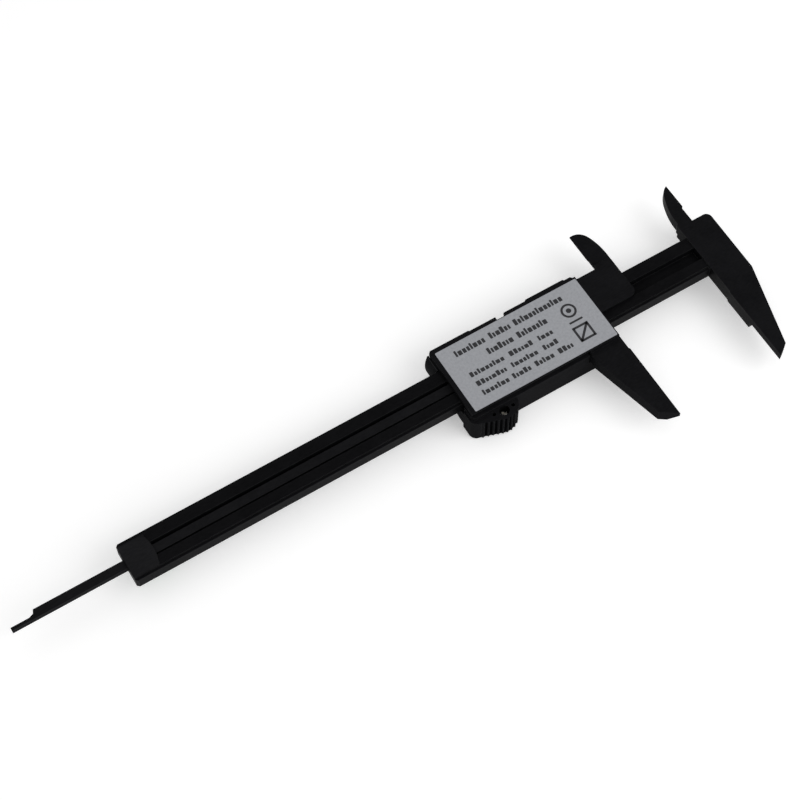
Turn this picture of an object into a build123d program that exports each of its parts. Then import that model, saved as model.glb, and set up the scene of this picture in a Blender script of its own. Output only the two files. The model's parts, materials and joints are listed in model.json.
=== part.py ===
import math
import os

from build123d import *

os.makedirs("parts", exist_ok=True)

# Digital caliper, 150 mm range, carbon-fibre-filled plastic, opened part way.
# Millimetres. It lies on the front of its display housing with its back up.
# +X runs along the beam towards the fixed jaws, +Y towards the inside jaws, +Z up.
# Heights below are measured from the beam's back face, negative towards the front.

# ---- Layout ----
beam_back_z = 12.6
moving_face_x = 30.0
opening = 41.2
fixed_face_x = moving_face_x + opening
fit = 0.1

# ---- Beam and fixed jaws ----
beam_length = 224.0
beam_width = 14.6
beam_depth = 5.3
beam_half = beam_width / 2
rebate_width = 1.0
rebate_depth = 0.7
channel_width = 5.2
channel_depth = 2.9
board_recess_width = 11.4
board_recess_depth = 0.85
board_recess_end = 4.0
head_rise = 0.6
head_relief = 0.35
face_top_y = -19.2
relief_step = 0.7
knife_top_y = -31.4
knife_land = 2.8
knife_bevel = 3.2
jaw_tip_y = -48.5
fixed_tip_back = (4.3, -45.4)
fixed_vertex = (12.8, -14.5)
head_right_x = 13.1
head_top_y = 11.9
head_corner_radius = 2.2
blade_edge_x = 6.8
blade_root_x = 6.2
blade_relief_y = 17.9
blade_tip_y = 28.7
blade_low = -3.6
blade_land = -0.8
fixed_blade_foot = (0.35, 12.7)
fixed_blade_step = (0.95, 13.4)
fixed_blade_curve = [(1.35, 18.2), (3.0, 24.0), (4.7, 27.2)]
fixed_blade_bevel_width = 3.4

# ---- Beam fittings ----
stator_width = 11.0
stator_depth = 0.75
scale_label_width = 14.0
scale_label_depth = 0.08
scale_label_length = 205.0
scale_label_corner = 0.6
cap_length = 10.4
cap_bulge = 1.1
cap_half = 6.2
cap_rise = 0.25
cap_pocket = 0.55
cap_pin_radius = 0.9
cap_pin_depth = 1.6
cap_pin_x = 4.5
cap_pin_y = 4.4
beam_end_chamfer = 0.8

# ---- Slider frame ----
frame_left_x = -59.8
frame_right_x = -1.0
frame_top_y = 14.3
frame_low_y = -13.8
frame_corner = 0.7
plate_under = 0.12
plate_top = 1.85
top_notch_x = -31.4
top_notch_width = 3.4
top_notch_depth = 1.4
top_pad_left_x = -20.6
top_pad_right_x = -5.4
top_pad_rise = 0.45
top_ledge_x = -43.5
top_ledge_rise = 0.3
top_end_x = -1.9
low_edge_undercut = 0.7
low_edge_land = 0.25
rail_outer = 12.3
rail_upper_inner = beam_half + fit
rail_lower_inner = beam_half + 0.45
rail_bottom = -5.6
rail_right_x = -2.3
rail_end_x = -58.4
wing_under = 0.9
wing_top_y = 12.4
wing_low_y = -3.0
wing_right_x = 13.7
wing_corner_radius = 2.4
moving_root_x = 7.4
moving_edge_x = blade_edge_x + 0.2
moving_blade_curve = [(9.9, 27.7), (12.7, 22.6), (13.6, 17.2), (13.65, 12.9)]
moving_blade_foot_y = 12.6
moving_blade_low = -2.4
facet_right_x = 11.7
facet_low_y = 14.0
facet_depth = 1.56
edge_land = 0.3
edge_undercut = 1.6
jaw_top = -0.4
jaw_root_left_x = -12.6
jaw_root_low_y = -17.4
moving_tip_back = (-5.8, -44.4)
moving_tip_y = jaw_tip_y
rod_boss_left_x = -24.0
rod_boss_right_x = -10.0
rod_boss_half = 1.9

# ---- Depth rod ----
rod_width = 3.2
rod_top = -0.65
rod_bottom = -2.8
rod_start_x = -12.0
rod_screw_x = -17.0
rod_tip_length = 8.2
rod_tip_width = 1.2
rod_tip_slope = 1.6
rod_tip_step = 0.6

# ---- Front cover ----
cover_left_x = -60.0
cover_right_x = -0.8
cover_half = 14.3
cover_top = -0.6
cover_front = -12.6
cover_wall = 1.4
cover_corner_radius = 1.6
beam_door_low = 8.8
beam_door_high = 7.8
jaw_door_left_x = -13.1
cover_chamfer = 0.5
grip_top = -2.4
grip_bottom = -12.4
grip_left_x = -60.6
grip_left_high_y = -8.9
grip_left_low_y = -15.6
grip_heel = (-57.7, -16.1)
grip_foot = (-57.0, -16.75)
grip_slope = math.radians(-19.4)
grip_straight = 7.1
grip_radius = 6.1
grip_corner_radius = 2.8
flute_count = 8
flute_pitch = 1.7
flute_radius = 1.0
flute_offset = 0.5
grip_screw_spot = (-48.5, -15.8)
grip_screw_bore = 3.7
grip_screw_seat = -6.6
grip_screw_rise = 1.1
grip_screw_round = 0.35
grip_screw_slot = 1.9
grip_screw_slot_depth = 0.6
grip_pin_spots = [(-52.3, -15.4), (-44.9, -15.6)]
grip_pin_bore = 1.3
grip_pin_depth = 3.0

# ---- Display, keys and board ----
window_x = -23.5
window_y = 6.4
window_length = 34.0
window_width = 11.6
window_lip = 1.5
window_depth = 1.1
window_set_back = 0.25
window_corner = 1.0
opening_corner = 0.6
lcd_length = 32.0
lcd_width = 10.8
lcd_glass = 1.05
lcd_ledge = 2.0
lcd_back = -8.2
zebra_width = 1.8
zebra_inset = 2.0
board_left_x = -42.6
board_right_x = -3.2
board_half = 12.1
board_back = rail_bottom
board_depth = 1.0
board_front = board_back - board_depth
chip_spot = (-34.0, 1.0)
chip_radius = 3.2
chip_height = 1.1
key_pitch = 11.0
key_y = -8.6
key_middle_x = window_x
key_length = 7.0
key_width = 3.6
key_flange = 0.7
key_flange_depth = 0.6
key_gap = 0.3
key_travel = 0.45
key_proud = -12.3
key_stem_radius = 1.2
key_corner = 1.2
key_edge = 0.3
key_play = 0.05
panel_length = 33.0
panel_width = 6.4
panel_depth = 0.9
panel_wall = 1.2
dome_radius = 2.0
dome_height = 0.3

# ---- Battery bay ----
battery_x = -50.6
battery_y = 3.2
battery_radius = 5.8
battery_height = 5.4
battery_lip_radius = 4.9
battery_lip = 0.25
bay_floor = rail_bottom
bay_floor_depth = 0.5
bay_radius = 6.2
bay_wall = 0.8
contact_sheet = 0.3
contact_radius = 3.4
contact_half = 1.4
contact_margin = 0.2
battery_edge = 0.4
battery_back = bay_floor - bay_floor_depth - contact_sheet
battery_front = battery_back - battery_height
door_right_x = -43.2
door_low_y = -5.2
door_high_y = 12.0
door_depth = 0.6
door_set_back = 0.05
door_gap = 0.15
door_end_high = 0.0
door_end_low_y = 7.7
door_end_high_y = 14.3
door_end_bulge = 1.5
door_end_shoulder = 0.6
door_end_step = 0.35
door_grip_count = 4
door_grip_pitch = 1.3
door_grip_width = 0.5
door_grip_depth = 0.3
door_grip_start = 4.0
door_grip_margin = 3.0

# ---- Screws ----
screw_radius = 0.8
screw_head_radius = 1.5
screw_head_height = 0.75
screw_clearance = 0.1
screw_end_gap = 0.2
housing_screw_spots = [(-55.9, 10.0), (-55.9, -10.0), (-4.9, 10.0), (-4.9, -10.0)]
housing_screw_end = -9.6
boss_radius = 2.2
screw_slot = 0.4
screw_slot_depth = 0.4

# ---- Back label ----
back_label_left_x = -58.25
back_label_right_x = -1.4
back_label_top_y = 12.8
back_label_low_y = -13.25
back_label_depth = 0.15

# ---- Guide spring ----
spring_sheet = 0.2
spring_length = 42.0
spring_width = 3.0
spring_top = -0.9
spring_foot = 1.0


def on_beam(height):
    """Plane with X = 0 at the fixed measuring face, at a height over the beam's back."""
    return Plane((fixed_face_x, 0, beam_back_z + height))


def on_slider(height):
    """Plane with X = 0 at the moving measuring face, at a height over the beam's back."""
    return Plane((moving_face_x, 0, beam_back_z + height))


def beam_section(y):
    """Vertical plane across the beam frame: local X along the beam, local Y up, facing -Y."""
    return Plane((fixed_face_x, y, beam_back_z), x_dir=(1, 0, 0), z_dir=(0, -1, 0))


def slider_section(y):
    """Vertical plane across the slider frame: local X along the beam, local Y up, facing -Y."""
    return Plane((moving_face_x, y, beam_back_z), x_dir=(1, 0, 0), z_dir=(0, -1, 0))


def slider_cross(x):
    """Vertical plane across the beam's length: local X along +Y, local Y up, facing +X."""
    return Plane((moving_face_x + x, 0, beam_back_z), x_dir=(0, 1, 0), z_dir=(1, 0, 0))


def span(x0, y0, x1, y1):
    """Rectangle between two corners, added to the sketch in progress."""
    with Locations(((x0 + x1) / 2, (y0 + y1) / 2)):
        Rectangle(abs(x1 - x0), abs(y1 - y0))


def grip_edge(travel, outside=0.0):
    """Point at a distance along the grip's outer edge: a straight run, then an arc."""
    turn = max(0.0, travel - grip_straight) / grip_radius
    run = min(travel, grip_straight)
    heading = grip_slope + turn
    centre_x = grip_foot[0] + run * math.cos(grip_slope) - grip_radius * math.sin(grip_slope)
    centre_y = grip_foot[1] + run * math.sin(grip_slope) + grip_radius * math.cos(grip_slope)
    reach = grip_radius + outside
    return (centre_x + reach * math.sin(heading), centre_y - reach * math.cos(heading))


def save(builder, name):
    """Label a finished piece and write its STEP file."""
    builder.part.label = name
    export_step(builder.part, f"parts/{name}.step")


# ================= Beam =================

# Beam, fixed jaws and inside blade are one moulding.
with BuildPart() as main_beam:
    with BuildSketch(on_beam(-beam_depth)):
        span(-beam_length, -beam_half, head_relief + 1, beam_half)
    extrude(amount=beam_depth)
    # Raised head with the outside jaw.
    with BuildSketch(on_beam(-beam_depth)) as head_outline:
        with BuildLine():
            Polyline(
                (0, jaw_tip_y),
                (0, face_top_y),
                (head_relief, face_top_y + relief_step),
                (head_relief, head_top_y),
                (head_right_x, head_top_y),
                (head_right_x - 0.2, -2.0),
                fixed_vertex,
                fixed_tip_back,
                (0, jaw_tip_y),
            )
        make_face()
        fillet(head_outline.vertices().group_by(Axis.Y)[-1].sort_by(Axis.X)[-1], head_corner_radius)
    extrude(amount=beam_depth + head_rise)
    # Inside blade above the head.
    with BuildSketch(on_beam(blade_low)):
        with BuildLine():
            Polyline(
                fixed_blade_step,
                fixed_blade_foot,
                (head_relief, head_top_y - 1),
                (blade_root_x, head_top_y - 1),
                (blade_root_x, blade_relief_y),
                (blade_edge_x, blade_relief_y + relief_step),
                (blade_edge_x, blade_tip_y),
            )
            Spline((blade_edge_x, blade_tip_y), *reversed(fixed_blade_curve), fixed_blade_step)
        make_face()
    extrude(amount=head_rise - blade_low)
    # Front bevels leave a narrow land on both knife edges.
    with BuildSketch(beam_section(knife_top_y)):
        with BuildLine():
            Polyline(
                (-1, -beam_depth - 1),
                (-1, head_rise - knife_land),
                (0, head_rise - knife_land),
                (knife_bevel, -beam_depth - 0.01),
                (knife_bevel, -beam_depth - 1),
                (-1, -beam_depth - 1),
            )
        make_face()
    extrude(amount=abs(jaw_tip_y - knife_top_y) + 1, mode=Mode.SUBTRACT)
    with BuildSketch(beam_section(blade_tip_y + 1)):
        with BuildLine():
            Polyline(
                (blade_edge_x + 1, blade_low - 1),
                (blade_edge_x + 1, blade_land),
                (blade_edge_x, blade_land),
                (blade_edge_x - fixed_blade_bevel_width, blade_low),
                (blade_edge_x - fixed_blade_bevel_width, blade_low - 1),
                (blade_edge_x + 1, blade_low - 1),
            )
        make_face()
    extrude(amount=blade_tip_y + 1 - blade_relief_y, mode=Mode.SUBTRACT)
    # Depth-rod channel along the back.
    with BuildSketch(on_beam(-channel_depth)):
        span(-beam_length - 1, -channel_width / 2, head_relief, channel_width / 2)
    extrude(amount=channel_depth + head_rise + 1, mode=Mode.SUBTRACT)
    # Rebate along the lower back edge.
    with BuildSketch(on_beam(-rebate_depth)):
        span(-beam_length - 1, -beam_half - 1, head_relief - 0.4, -beam_half + rebate_width)
    extrude(amount=rebate_depth + 1, mode=Mode.SUBTRACT)
    # Recess on the front for the scale electrode strip.
    with BuildSketch(on_beam(-beam_depth)):
        span(
            -beam_length + board_recess_end,
            -board_recess_width / 2,
            -board_recess_end,
            board_recess_width / 2,
        )
    extrude(amount=board_recess_depth, mode=Mode.SUBTRACT)
    # Pocket for the end cap, with two pin holes.
    with BuildSketch(on_beam(-cap_pocket)):
        with BuildLine():
            Polyline(
                (-beam_length + cap_length - cap_bulge, cap_half),
                (-beam_length - 1, cap_half),
                (-beam_length - 1, -cap_half),
                (-beam_length + cap_length - cap_bulge, -cap_half),
            )
            ThreePointArc(
                (-beam_length + cap_length - cap_bulge, -cap_half),
                (-beam_length + cap_length, 0),
                (-beam_length + cap_length - cap_bulge, cap_half),
            )
        make_face()
    extrude(amount=cap_pocket + 1, mode=Mode.SUBTRACT)
    with BuildSketch(on_beam(-cap_pocket - cap_pin_depth)):
        with Locations((-beam_length + cap_pin_x, cap_pin_y), (-beam_length + cap_pin_x, -cap_pin_y)):
            Circle(cap_pin_radius)
    extrude(amount=cap_pin_depth, mode=Mode.SUBTRACT)
    # Softened end corners.
    end_edges = main_beam.edges().filter_by(Axis.Z).group_by(Axis.X)[0]
    chamfer(end_edges.sort_by(Axis.Y)[0], beam_end_chamfer)
    end_edges = main_beam.edges().filter_by(Axis.Z).group_by(Axis.X)[0]
    chamfer(end_edges.sort_by(Axis.Y)[-1], beam_end_chamfer)
save(main_beam, "main_beam")

# Electrode strip of the capacitive scale, bedded in the front recess.
with BuildPart() as stator_board:
    with BuildSketch(on_beam(-beam_depth + board_recess_depth - stator_depth)):
        span(
            -beam_length + board_recess_end + fit,
            -stator_width / 2,
            -board_recess_end - fit,
            stator_width / 2,
        )
    extrude(amount=stator_depth)
save(stator_board, "stator_board")

# Printed scale strip over the electrode strip.
with BuildPart() as scale_label:
    with BuildSketch(on_beam(-beam_depth - scale_label_depth)):
        with Locations((-board_recess_end - scale_label_length / 2, 0)):
            RectangleRounded(scale_label_length, scale_label_width, scale_label_corner)
    extrude(amount=scale_label_depth)
save(scale_label, "scale_label")

# Cap that closes the end of the channel above the rod.
with BuildPart() as end_cap:
    with BuildSketch(on_beam(-cap_pocket)):
        with BuildLine():
            Polyline(
                (-beam_length + cap_length - cap_bulge - fit, cap_half - fit),
                (-beam_length + 0.1, cap_half - fit),
                (-beam_length + 0.1, -cap_half + fit),
                (-beam_length + cap_length - cap_bulge - fit, -cap_half + fit),
            )
            ThreePointArc(
                (-beam_length + cap_length - cap_bulge - fit, -cap_half + fit),
                (-beam_length + cap_length - fit, 0),
                (-beam_length + cap_length - cap_bulge - fit, cap_half - fit),
            )
        make_face()
    extrude(amount=cap_pocket + cap_rise)
    fillet(end_cap.faces().sort_by(Axis.Z)[-1].edges(), cap_rise * 0.8)
    with BuildSketch(on_beam(-cap_pocket)):
        with Locations((-beam_length + cap_pin_x, cap_pin_y), (-beam_length + cap_pin_x, -cap_pin_y)):
            Circle(cap_pin_radius)
    extrude(amount=-cap_pin_depth)
save(end_cap, "end_cap")

# ================= Slider =================

# Back frame with the moving jaws.
with BuildPart() as slider_frame:
    with BuildSketch(on_slider(plate_under)):
        with BuildLine():
            Polyline(
                (frame_left_x, frame_low_y),
                (frame_right_x, frame_low_y),
                (frame_right_x, frame_top_y - frame_corner),
                (top_end_x, frame_top_y - frame_corner),
                (top_end_x - frame_corner, frame_top_y),
                (top_pad_right_x + top_pad_rise, frame_top_y),
                (top_pad_right_x, frame_top_y + top_pad_rise),
                (top_pad_left_x, frame_top_y + top_pad_rise),
                (top_pad_left_x - top_pad_rise, frame_top_y),
                (top_ledge_x, frame_top_y),
                (top_ledge_x - top_ledge_rise, frame_top_y + top_ledge_rise),
                (frame_left_x + frame_corner, frame_top_y + top_ledge_rise),
                (frame_left_x, frame_top_y + top_ledge_rise - frame_corner),
                (frame_left_x, frame_low_y),
            )
        make_face()
        with Locations((top_notch_x, frame_top_y)):
            Rectangle(top_notch_width, 2 * top_notch_depth, mode=Mode.SUBTRACT)
    extrude(amount=plate_top - plate_under)
    # Two rails hold the beam between them.
    with BuildSketch(on_slider(rail_bottom)):
        span(rail_end_x, rail_upper_inner, rail_right_x, rail_outer)
        span(rail_end_x, -rail_outer, rail_right_x, -rail_lower_inner)
    extrude(amount=plate_under - rail_bottom)
    # Thin wing that passes over the fixed head when the jaws close.
    with BuildSketch(on_slider(wing_under)) as wing_outline:
        span(frame_right_x - 1, wing_low_y, wing_right_x, wing_top_y)
        corner = wing_outline.vertices().group_by(Axis.Y)[0].sort_by(Axis.X)[-1]
        fillet(corner, wing_corner_radius)
    extrude(amount=plate_top - wing_under)
    # Inside blade.
    with BuildSketch(on_slider(moving_blade_low)):
        with BuildLine():
            Polyline(
                moving_blade_curve[-1],
                (wing_right_x, moving_blade_foot_y),
                (moving_root_x, moving_blade_foot_y),
                (moving_root_x, blade_relief_y - relief_step),
                (moving_edge_x, blade_relief_y),
                (moving_edge_x, blade_tip_y),
            )
            Spline((moving_edge_x, blade_tip_y), *moving_blade_curve)
        make_face()
    extrude(amount=plate_top - moving_blade_low)
    with BuildSketch(on_slider(wing_under)):
        span(moving_root_x, wing_top_y - 1, wing_right_x, moving_blade_foot_y + 0.2)
    extrude(amount=plate_top - wing_under)
    # Long facet falls to the blade's measuring edge.
    with BuildSketch(slider_section(blade_tip_y + 1)):
        with BuildLine():
            Polyline(
                (moving_edge_x - 1, plate_top - facet_depth),
                (facet_right_x, plate_top),
                (facet_right_x, plate_top + 1),
                (moving_edge_x - 1, plate_top + 1),
                (moving_edge_x - 1, plate_top - facet_depth),
            )
        make_face()
    extrude(amount=blade_tip_y + 1 - facet_low_y, mode=Mode.SUBTRACT)
    # The blade's front is cut away under that edge.
    edge_under = plate_top - facet_depth - edge_land
    with BuildSketch(slider_section(blade_tip_y + 1)):
        with BuildLine():
            Polyline(
                (moving_edge_x - 1, moving_blade_low - 1),
                (moving_edge_x - 1, edge_under),
                (moving_edge_x, edge_under),
                (moving_edge_x + edge_undercut, moving_blade_low),
                (moving_edge_x + edge_undercut, moving_blade_low - 1),
                (moving_edge_x - 1, moving_blade_low - 1),
            )
        make_face()
    extrude(amount=blade_tip_y + 1 - moving_blade_foot_y, mode=Mode.SUBTRACT)
    # Outside jaw.
    with BuildSketch(on_slider(-beam_depth)):
        with BuildLine():
            Polyline(
                (0, moving_tip_y),
                (0, face_top_y),
                (-head_relief, face_top_y + relief_step),
                (-head_relief, -rail_lower_inner - 0.5),
                (jaw_root_left_x, -rail_lower_inner - 0.5),
                (jaw_root_left_x, jaw_root_low_y),
                moving_tip_back,
                (0, moving_tip_y),
            )
        make_face()
    extrude(amount=jaw_top + beam_depth)
    with BuildSketch(on_slider(jaw_top)):
        span(jaw_root_left_x, frame_low_y, frame_right_x, -rail_lower_inner - 0.5)
    extrude(amount=plate_under - jaw_top)
    with BuildSketch(slider_section(knife_top_y)):
        with BuildLine():
            Polyline(
                (1, -beam_depth - 1),
                (1, head_rise - knife_land),
                (0, head_rise - knife_land),
                (-knife_bevel, -beam_depth - 0.01),
                (-knife_bevel, -beam_depth - 1),
                (1, -beam_depth - 1),
            )
        make_face()
    extrude(amount=abs(moving_tip_y - knife_top_y) + 1, mode=Mode.SUBTRACT)
    # Boss that carries the depth rod inside the beam's channel.
    with BuildSketch(on_slider(rod_top)):
        span(rod_boss_left_x, -rod_boss_half, rod_boss_right_x, rod_boss_half)
    extrude(amount=plate_under - rod_top)
    # Undercut below the plate's lower edge.
    with BuildSketch(slider_cross(frame_left_x - 1)):
        with BuildLine():
            Polyline(
                (frame_low_y - 1, plate_top - low_edge_land),
                (frame_low_y, plate_top - low_edge_land),
                (frame_low_y + low_edge_undercut, plate_under),
                (frame_low_y + low_edge_undercut, plate_under - 1),
                (frame_low_y - 1, plate_under - 1),
                (frame_low_y - 1, plate_top - low_edge_land),
            )
        make_face()
    extrude(amount=jaw_root_left_x - frame_left_x + 1, mode=Mode.SUBTRACT)
    # Screw holes with sunk heads, hidden by the label.
    with BuildSketch(on_slider(rail_bottom - 1)):
        with Locations(*housing_screw_spots, (rod_screw_x, 0)):
            Circle(screw_radius + screw_clearance)
    extrude(amount=plate_top - rail_bottom + 2, mode=Mode.SUBTRACT)
    with BuildSketch(on_slider(plate_top - screw_head_height - fit)):
        with Locations(*housing_screw_spots, (rod_screw_x, 0)):
            Circle(screw_head_radius + screw_clearance)
    extrude(amount=screw_head_height + 1, mode=Mode.SUBTRACT)
save(slider_frame, "slider_frame")

# Sticker on the back.
with BuildPart() as back_label:
    with BuildSketch(on_slider(plate_top)):
        span(back_label_left_x, back_label_low_y, back_label_right_x, back_label_top_y)
    extrude(amount=back_label_depth)
save(back_label, "back_label")

# Depth rod with its narrow measuring tip.
with BuildPart() as depth_rod:
    with BuildSketch(on_slider(rod_bottom)):
        with BuildLine():
            Polyline(
                (rod_start_x, rod_width / 2),
                (rod_start_x, -rod_width / 2),
                (-beam_length, -rod_width / 2),
                (-beam_length, -rod_width / 2 + rod_tip_width),
                (-beam_length + rod_tip_length - rod_tip_slope, -rod_width / 2 + rod_tip_width),
                (-beam_length + rod_tip_length, -rod_width / 2 + rod_tip_width + rod_tip_step),
                (-beam_length + rod_tip_length + rod_tip_slope * 0.4, rod_width / 2),
                (rod_start_x, rod_width / 2),
            )
        make_face()
    extrude(amount=rod_top - rod_bottom)
    with BuildSketch(on_slider(rod_bottom)):
        with Locations((rod_screw_x, 0)):
            Circle(screw_radius)
    extrude(amount=rod_top - rod_bottom, mode=Mode.SUBTRACT)
save(depth_rod, "depth_rod")

# Screw that holds the rod to the frame.
with BuildPart() as rod_screw:
    with BuildSketch(on_slider(plate_top - fit)):
        with Locations((rod_screw_x, 0)):
            Circle(screw_head_radius)
    extrude(amount=-screw_head_height)
    with BuildSketch(on_slider(plate_top - fit)):
        with Locations((rod_screw_x, 0)):
            Rectangle(2 * screw_head_radius, screw_slot)
    extrude(amount=-screw_slot_depth, mode=Mode.SUBTRACT)
    with BuildSketch(on_slider(plate_top - fit - screw_head_height)):
        with Locations((rod_screw_x, 0)):
            Circle(screw_radius)
    extrude(amount=-(plate_top - fit - screw_head_height - rod_bottom))
save(rod_screw, "rod_screw")

# Leaf spring that takes up play against the beam's lower edge.
with BuildPart() as guide_spring:
    with BuildSketch(on_slider(spring_top - spring_width)):
        middle = (rail_end_x + frame_right_x) / 2
        span(
            middle - spring_length / 2,
            -beam_half - fit - spring_sheet,
            middle + spring_length / 2,
            -beam_half - fit,
        )
        for end in (-1, 1):
            end_x = middle + end * (spring_length / 2 - spring_foot)
            span(
                end_x - spring_foot,
                -rail_lower_inner,
                end_x + spring_foot,
                -beam_half - fit - spring_sheet / 2,
            )
    extrude(amount=spring_width)
save(guide_spring, "guide_spring")

# Front cover with the thumb grip, the display opening, the keys' panel and the battery bay.
with BuildPart() as front_cover:
    with BuildSketch(on_slider(cover_front)) as cover_outline:
        span(cover_left_x, -cover_half, cover_right_x, cover_half)
        fillet(cover_outline.vertices(), cover_corner_radius)
    extrude(amount=cover_top - cover_front)
    chamfer(front_cover.faces().sort_by(Axis.Z)[0].edges(), cover_chamfer)
    # Thumb grip along the lower side.
    arc_length = grip_radius * math.radians(100)
    with BuildSketch(on_slider(grip_bottom)) as grip_outline:
        with BuildLine():
            Polyline(
                grip_edge(grip_straight + arc_length),
                (cover_left_x + 3, -cover_half + 1),
                (cover_left_x + 3, grip_left_high_y),
                (cover_left_x, grip_left_high_y),
                (grip_left_x, grip_left_high_y + grip_left_x - cover_left_x),
                (grip_left_x, grip_left_low_y),
                grip_heel,
                grip_edge(0),
                grip_edge(grip_straight),
            )
            ThreePointArc(
                grip_edge(grip_straight),
                grip_edge(grip_straight + arc_length / 2),
                grip_edge(grip_straight + arc_length),
            )
        make_face()
        corner = grip_outline.vertices().group_by(Axis.X)[0].sort_by(Axis.Y)[0]
        fillet(corner, grip_corner_radius)
    extrude(amount=grip_top - grip_bottom)
    # Hollow for the works.
    with BuildSketch(on_slider(cover_front + cover_wall)):
        span(cover_left_x + cover_wall, -rail_outer - fit, cover_right_x - cover_wall, rail_outer + fit)
    extrude(amount=cover_top - cover_front, mode=Mode.SUBTRACT)
    # Openings for the beam at both ends and for the outside jaw below.
    with BuildSketch(on_slider(rail_bottom)):
        span(cover_left_x - 1, -beam_door_low, cover_right_x + 1, beam_door_high)
        span(jaw_door_left_x, -cover_half - 1, cover_right_x + 1, 0)
    extrude(amount=cover_top - rail_bottom + 1, mode=Mode.SUBTRACT)
    # Screw posts, board posts, and the cup around the battery.
    with BuildSketch(on_slider(cover_front + cover_wall)):
        with Locations(*housing_screw_spots):
            Circle(boss_radius)
    extrude(amount=board_back - board_depth - cover_front - cover_wall)
    with BuildSketch(on_slider(board_front)):
        with Locations(*housing_screw_spots[:2]):
            Circle(boss_radius)
    extrude(amount=rail_bottom - board_front)
    with BuildSketch(on_slider(cover_front + cover_wall)):
        with Locations((battery_x, battery_y)):
            Circle(bay_radius + bay_wall)
    extrude(amount=bay_floor - cover_front - cover_wall)
    with BuildSketch(on_slider(cover_front - 1)):
        with Locations((battery_x, battery_y)):
            Circle(bay_radius)
    extrude(amount=bay_floor - bay_floor_depth - cover_front + 1, mode=Mode.SUBTRACT)
    # Slot for the side contact, seat for the battery door.
    with BuildSketch(on_slider(battery_front - contact_margin)):
        span(
            battery_x + bay_radius - 1,
            battery_y - contact_half - contact_margin,
            battery_x + bay_radius + bay_wall + contact_margin,
            battery_y + contact_half + contact_margin,
        )
    extrude(amount=battery_height - 2 * contact_margin, mode=Mode.SUBTRACT)
    with BuildSketch(on_slider(cover_front - 1)):
        span(cover_left_x - 1, door_low_y - door_gap, door_right_x + door_gap, door_high_y + door_gap)
    extrude(amount=1 + door_set_back + door_depth + door_gap, mode=Mode.SUBTRACT)
    # Left end steps back behind the door's barrel end.
    with BuildSketch(on_slider(cover_front - 1)):
        span(cover_left_x - 1, door_end_low_y - door_gap, cover_left_x + door_end_step, cover_half + 1)
    extrude(amount=cover_top - cover_front + 2, mode=Mode.SUBTRACT)
    # Display window seat and opening.
    with BuildSketch(on_slider(cover_front - 1)):
        with Locations((window_x, window_y)):
            RectangleRounded(window_length + fit, window_width + fit, window_corner)
    extrude(amount=1 + window_set_back + window_depth, mode=Mode.SUBTRACT)
    with BuildSketch(on_slider(cover_front - 1)):
        with Locations((window_x, window_y)):
            RectangleRounded(window_length - 2 * window_lip, window_width - 2 * window_lip, opening_corner)
    extrude(amount=3, mode=Mode.SUBTRACT)
    # Sunk panel round the keys, thickened behind.
    with BuildSketch(on_slider(cover_front + cover_wall)):
        with Locations((key_middle_x, key_y)):
            Rectangle(panel_length + 1, panel_width + 0.6)
    extrude(amount=panel_depth + panel_wall - cover_wall)
    with BuildSketch(on_slider(cover_front - 1)):
        with Locations((key_middle_x, key_y)):
            RectangleRounded(panel_length, panel_width, key_corner)
    extrude(amount=1 + panel_depth, mode=Mode.SUBTRACT)
    with BuildSketch(on_slider(cover_front - 1)):
        with Locations((key_middle_x, key_y)):
            with GridLocations(key_pitch, 1, 3, 1):
                RectangleRounded(key_length + 2 * key_gap, key_width + 2 * key_gap, key_corner + key_gap)
    extrude(amount=4, mode=Mode.SUBTRACT)
    # Pilot holes in the posts.
    with BuildSketch(on_slider(housing_screw_end - 0.3)):
        with Locations(*housing_screw_spots):
            Circle(screw_radius)
    extrude(amount=rail_bottom - housing_screw_end + 1, mode=Mode.SUBTRACT)
    # Grip details: flutes with sharp ridges between them, counterbored screw hole, two pin marks.
    with BuildSketch(on_slider(grip_bottom - 1)):
        for flute in range(flute_count):
            with Locations(grip_edge((flute + 0.5) * flute_pitch, flute_offset)):
                Circle(flute_radius)
    extrude(amount=grip_top - grip_bottom + 2, mode=Mode.SUBTRACT)
    with BuildSketch(on_slider(grip_screw_seat)):
        with Locations(grip_screw_spot):
            Circle(grip_screw_bore / 2)
    extrude(amount=grip_top - grip_screw_seat + 0.1, mode=Mode.SUBTRACT)
    with BuildSketch(on_slider(housing_screw_end)):
        with Locations(grip_screw_spot):
            Circle(screw_radius)
    extrude(amount=grip_screw_seat - housing_screw_end, mode=Mode.SUBTRACT)
    with BuildSketch(on_slider(grip_top - grip_pin_depth)):
        with Locations(*grip_pin_spots):
            Circle(grip_pin_bore / 2)
    extrude(amount=grip_pin_depth + 0.1, mode=Mode.SUBTRACT)
save(front_cover, "front_cover")

# Screw at the bottom of the grip's bore.
with BuildPart() as grip_screw:
    with BuildSketch(on_slider(grip_screw_seat)):
        with Locations(grip_screw_spot):
            Circle(screw_head_radius)
    extrude(amount=grip_screw_rise)
    fillet(grip_screw.faces().sort_by(Axis.Z)[-1].edges(), grip_screw_round)
    with BuildSketch(on_slider(grip_screw_seat + grip_screw_rise)):
        with Locations(grip_screw_spot):
            Rectangle(grip_screw_slot, screw_slot)
            Rectangle(screw_slot, grip_screw_slot)
    extrude(amount=-grip_screw_slot_depth, mode=Mode.SUBTRACT)
    with BuildSketch(on_slider(grip_screw_seat)):
        with Locations(grip_screw_spot):
            Circle(screw_radius)
    extrude(amount=-(grip_screw_seat - housing_screw_end - screw_end_gap))
save(grip_screw, "grip_screw")

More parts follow.
